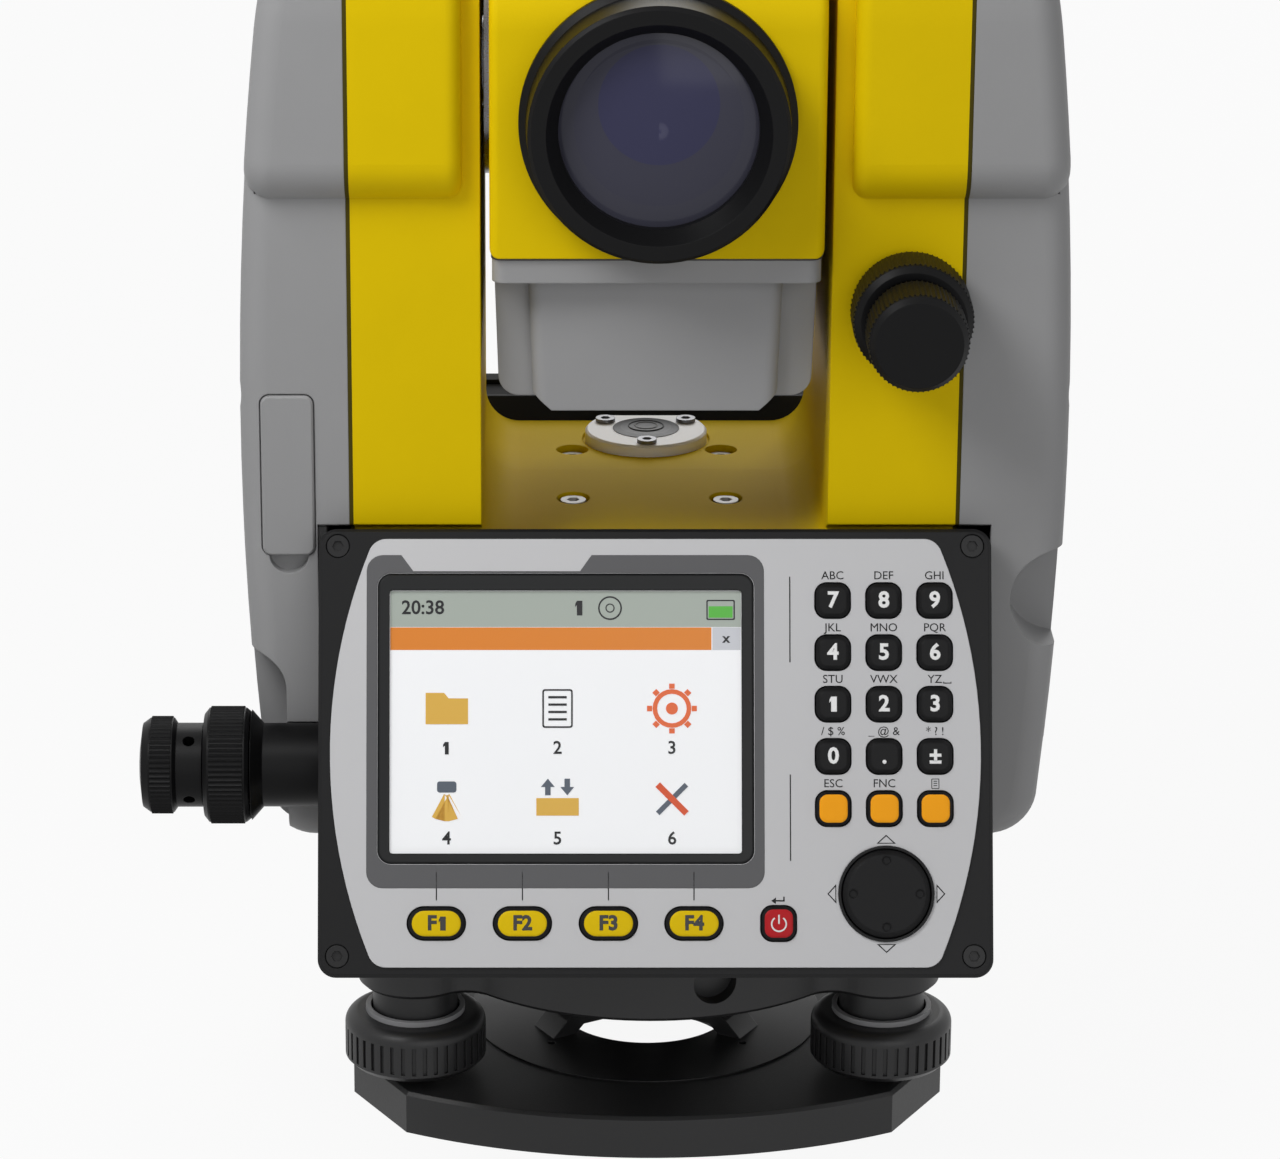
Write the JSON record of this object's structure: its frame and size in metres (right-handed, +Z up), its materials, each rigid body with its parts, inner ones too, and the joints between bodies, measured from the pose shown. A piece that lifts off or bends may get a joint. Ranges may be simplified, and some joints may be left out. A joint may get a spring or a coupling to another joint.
{
  "type": "surveying total station",
  "caption": "Surveying total station on a three-screw tribrach: tilting telescope in a turning yoke with a sloped keypad, display, drives and carrying handle.",
  "frame": {"origin": "on the vertical axis, at the underside of the tribrach base plate", "axes": "+Z up along the vertical axis, -Y towards the user at the front keypad, +X to the user's right along the tilting axis"},
  "size_m": [0.2037, 0.1959, 0.35],
  "materials": {
    "black_casting": "matte",
    "black_spring_plate": "satin",
    "black_knob_plastic": "matte",
    "axis_metal": "satin",
    "circle_glass": "polished",
    "yellow_paint_casting": "satin",
    "grey_housing_plastic": "satin",
    "battery_plastic": "matte",
    "black_case_plastic": "satin",
    "silver_overlay_film": "satin",
    "display_window": "gloss",
    "black_key_rubber": "satin",
    "yellow_key_rubber": "satin",
    "orange_key_rubber": "satin",
    "red_key_rubber": "satin",
    "screw_steel": "satin",
    "level_plate_metal": "satin",
    "vial_glass": "polished",
    "black_anodised": "satin",
    "coated_lens_glass": "polished"
  },
  "bodies": {
    "base": {"base_plate": "black_casting", "spring_plate": "black_spring_plate"},
    "foot_screw_1": {"foot_screw_1": "black_knob_plastic"},
    "foot_screw_2": {"foot_screw_2": "black_knob_plastic"},
    "foot_screw_3": {"foot_screw_3": "black_knob_plastic"},
    "tribrach": {"tribrach_body": "black_casting", "axis_carrier": "axis_metal", "horizontal_circle": "circle_glass"},
    "lock_lever": {"lock_lever": "black_knob_plastic"},
    "alidade": {"yoke_frame": "yellow_paint_casting", "left_cover": "grey_housing_plastic", "right_cover": "grey_housing_plastic", "keypad_case": "black_case_plastic", "keypad_overlay": "silver_overlay_film", "display_panel": "display_window", "rear_panel": "black_case_plastic", "casing_screws": "screw_steel", "level_plate": "level_plate_metal", "level_vial": "vial_glass", "level_screws": "screw_steel", "handle": "black_case_plastic", "handle_screws": "screw_steel", "h_drive_housing": "black_anodised", "trunnion_bearings": "screw_steel"},
    "battery_door": {"battery_door": "grey_housing_plastic", "battery": "battery_plastic"},
    "port_door": {"port_door": "grey_housing_plastic"},
    "h_clamp_ring": {"h_clamp_ring": "black_anodised"},
    "h_drive_knob": {"h_drive_knob": "black_anodised"},
    "v_clamp_ring": {"v_clamp_ring": "black_anodised"},
    "v_drive_knob": {"v_drive_knob": "black_anodised"},
    "telescope": {"telescope_housing": "yellow_paint_casting", "telescope_cover": "grey_housing_plastic", "lens_ring": "black_anodised", "objective_lens": "coated_lens_glass", "trunnion_shafts": "axis_metal", "vertical_circle": "circle_glass"},
    "focus_ring": {"focus_ring": "black_knob_plastic"},
    "eyepiece": {"eyepiece": "black_anodised"},
    "key_f1": {"key_f1": "yellow_key_rubber"},
    "key_f2": {"key_f2": "yellow_key_rubber"},
    "key_f3": {"key_f3": "yellow_key_rubber"},
    "key_f4": {"key_f4": "yellow_key_rubber"},
    "key_0": {"key_0": "black_key_rubber"},
    "key_1": {"key_1": "black_key_rubber"},
    "key_2": {"key_2": "black_key_rubber"},
    "key_3": {"key_3": "black_key_rubber"},
    "key_4": {"key_4": "black_key_rubber"},
    "key_5": {"key_5": "black_key_rubber"},
    "key_6": {"key_6": "black_key_rubber"},
    "key_7": {"key_7": "black_key_rubber"},
    "key_8": {"key_8": "black_key_rubber"},
    "key_9": {"key_9": "black_key_rubber"},
    "key_dot": {"key_dot": "black_key_rubber"},
    "key_sign": {"key_sign": "black_key_rubber"},
    "key_esc": {"key_esc": "orange_key_rubber"},
    "key_fnc": {"key_fnc": "orange_key_rubber"},
    "key_page": {"key_page": "orange_key_rubber"},
    "key_power": {"key_power": "red_key_rubber"},
    "nav_pad": {"nav_pad": "black_key_rubber"}
  },
  "joints": [
    {"name": "foot_screw_1_turn", "type": "hinge", "parent": "base", "child": "foot_screw_1", "pos_m": [0, 0.062, 0.018], "axis": [0, 0, 1], "range_deg": [-900, 900]},
    {"name": "foot_screw_2_turn", "type": "hinge", "parent": "base", "child": "foot_screw_2", "pos_m": [-0.05369, -0.031, 0.018], "axis": [0, 0, 1], "range_deg": [-900, 900]},
    {"name": "foot_screw_3_turn", "type": "hinge", "parent": "base", "child": "foot_screw_3", "pos_m": [0.05369, -0.031, 0.018], "axis": [0, 0, 1], "range_deg": [-900, 900]},
    {"name": "tribrach_lift", "type": "slide", "parent": "base", "child": "tribrach", "axis": [0, 0, 1], "range_m": [-0.0025, 0.0025]},
    {"name": "lock_lever_turn", "type": "hinge", "parent": "tribrach", "child": "lock_lever", "pos_m": [0.0498, 0.02875, 0.03775], "axis": [0.866, 0.5, 0], "range_deg": [0, 180]},
    {"name": "alidade_turn", "type": "hinge", "parent": "tribrach", "child": "alidade", "pos_m": [0, 0, 0.09], "axis": [0, 0, 1], "continuous": true},
    {"name": "telescope_tilt", "type": "hinge", "parent": "alidade", "child": "telescope", "pos_m": [0, 0, 0.24], "axis": [1, 0, 0], "continuous": true},
    {"name": "focus_ring_turn", "type": "hinge", "parent": "telescope", "child": "focus_ring", "pos_m": [0, 0.065, 0.24], "axis": [0, 1, 0], "range_deg": [-135, 135]},
    {"name": "eyepiece_turn", "type": "hinge", "parent": "telescope", "child": "eyepiece", "pos_m": [0, 0.08, 0.24], "axis": [0, 1, 0], "range_deg": [-180, 180]},
    {"name": "h_clamp_turn", "type": "hinge", "parent": "alidade", "child": "h_clamp_ring", "pos_m": [-0.094, -0.0563, 0.094], "axis": [-1, 0, 0], "range_deg": [0, 90]},
    {"name": "h_drive_turn", "type": "hinge", "parent": "alidade", "child": "h_drive_knob", "pos_m": [-0.108, -0.0563, 0.094], "axis": [-1, 0, 0], "continuous": true},
    {"name": "v_clamp_turn", "type": "hinge", "parent": "alidade", "child": "v_clamp_ring", "pos_m": [0.0546, -0.06, 0.198], "axis": [0, -1, 0], "range_deg": [0, 90]},
    {"name": "v_drive_turn", "type": "hinge", "parent": "alidade", "child": "v_drive_knob", "pos_m": [0.0546, -0.075, 0.198], "axis": [0, -1, 0], "continuous": true},
    {"name": "port_door_hinge", "type": "hinge", "parent": "alidade", "child": "port_door", "pos_m": [-0.0799, -0.0527, 0.178], "axis": [-1, 0, 0], "range_deg": [0, 100]},
    {"name": "battery_door_hinge", "type": "hinge", "parent": "alidade", "child": "battery_door", "pos_m": [0.0909, 0.0423, 0.127], "axis": [0, 0, 1], "range_deg": [0, 95]},
    {"name": "key_f1_press", "type": "slide", "parent": "alidade", "child": "key_f1", "axis": [0, -0.9239, 0.3827], "range_m": [-0.0005, 0], "stiffness_N_per_m": 2500},
    {"name": "key_f2_press", "type": "slide", "parent": "alidade", "child": "key_f2", "axis": [0, -0.9239, 0.3827], "range_m": [-0.0005, 0], "stiffness_N_per_m": 2500},
    {"name": "key_f3_press", "type": "slide", "parent": "alidade", "child": "key_f3", "axis": [0, -0.9239, 0.3827], "range_m": [-0.0005, 0], "stiffness_N_per_m": 2500},
    {"name": "key_f4_press", "type": "slide", "parent": "alidade", "child": "key_f4", "axis": [0, -0.9239, 0.3827], "range_m": [-0.0005, 0], "stiffness_N_per_m": 2500},
    {"name": "key_0_press", "type": "slide", "parent": "alidade", "child": "key_0", "axis": [0, -0.9239, 0.3827], "range_m": [-0.0005, 0], "stiffness_N_per_m": 2500},
    {"name": "key_1_press", "type": "slide", "parent": "alidade", "child": "key_1", "axis": [0, -0.9239, 0.3827], "range_m": [-0.0005, 0], "stiffness_N_per_m": 2500},
    {"name": "key_2_press", "type": "slide", "parent": "alidade", "child": "key_2", "axis": [0, -0.9239, 0.3827], "range_m": [-0.0005, 0], "stiffness_N_per_m": 2500},
    {"name": "key_3_press", "type": "slide", "parent": "alidade", "child": "key_3", "axis": [0, -0.9239, 0.3827], "range_m": [-0.0005, 0], "stiffness_N_per_m": 2500},
    {"name": "key_4_press", "type": "slide", "parent": "alidade", "child": "key_4", "axis": [0, -0.9239, 0.3827], "range_m": [-0.0005, 0], "stiffness_N_per_m": 2500},
    {"name": "key_5_press", "type": "slide", "parent": "alidade", "child": "key_5", "axis": [0, -0.9239, 0.3827], "range_m": [-0.0005, 0], "stiffness_N_per_m": 2500},
    {"name": "key_6_press", "type": "slide", "parent": "alidade", "child": "key_6", "axis": [0, -0.9239, 0.3827], "range_m": [-0.0005, 0], "stiffness_N_per_m": 2500},
    {"name": "key_7_press", "type": "slide", "parent": "alidade", "child": "key_7", "axis": [0, -0.9239, 0.3827], "range_m": [-0.0005, 0], "stiffness_N_per_m": 2500},
    {"name": "key_8_press", "type": "slide", "parent": "alidade", "child": "key_8", "axis": [0, -0.9239, 0.3827], "range_m": [-0.0005, 0], "stiffness_N_per_m": 2500},
    {"name": "key_9_press", "type": "slide", "parent": "alidade", "child": "key_9", "axis": [0, -0.9239, 0.3827], "range_m": [-0.0005, 0], "stiffness_N_per_m": 2500},
    {"name": "key_dot_press", "type": "slide", "parent": "alidade", "child": "key_dot", "axis": [0, -0.9239, 0.3827], "range_m": [-0.0005, 0], "stiffness_N_per_m": 2500},
    {"name": "key_sign_press", "type": "slide", "parent": "alidade", "child": "key_sign", "axis": [0, -0.9239, 0.3827], "range_m": [-0.0005, 0], "stiffness_N_per_m": 2500},
    {"name": "key_esc_press", "type": "slide", "parent": "alidade", "child": "key_esc", "axis": [0, -0.9239, 0.3827], "range_m": [-0.0005, 0], "stiffness_N_per_m": 2500},
    {"name": "key_fnc_press", "type": "slide", "parent": "alidade", "child": "key_fnc", "axis": [0, -0.9239, 0.3827], "range_m": [-0.0005, 0], "stiffness_N_per_m": 2500},
    {"name": "key_page_press", "type": "slide", "parent": "alidade", "child": "key_page", "axis": [0, -0.9239, 0.3827], "range_m": [-0.0005, 0], "stiffness_N_per_m": 2500},
    {"name": "key_power_press", "type": "slide", "parent": "alidade", "child": "key_power", "axis": [0, -0.9239, 0.3827], "range_m": [-0.0005, 0], "stiffness_N_per_m": 2500},
    {"name": "nav_pad_press", "type": "slide", "parent": "alidade", "child": "nav_pad", "axis": [0, -0.9239, 0.3827], "range_m": [-0.0005, 0], "stiffness_N_per_m": 2500}
  ],
  "couplings": [
    {"joint": "foot_screw_1_turn", "follows": "tribrach_lift", "rad_per_m": -6283.2},
    {"joint": "foot_screw_2_turn", "follows": "tribrach_lift", "rad_per_m": -6283.2},
    {"joint": "foot_screw_3_turn", "follows": "tribrach_lift", "rad_per_m": -6283.2}
  ]
}
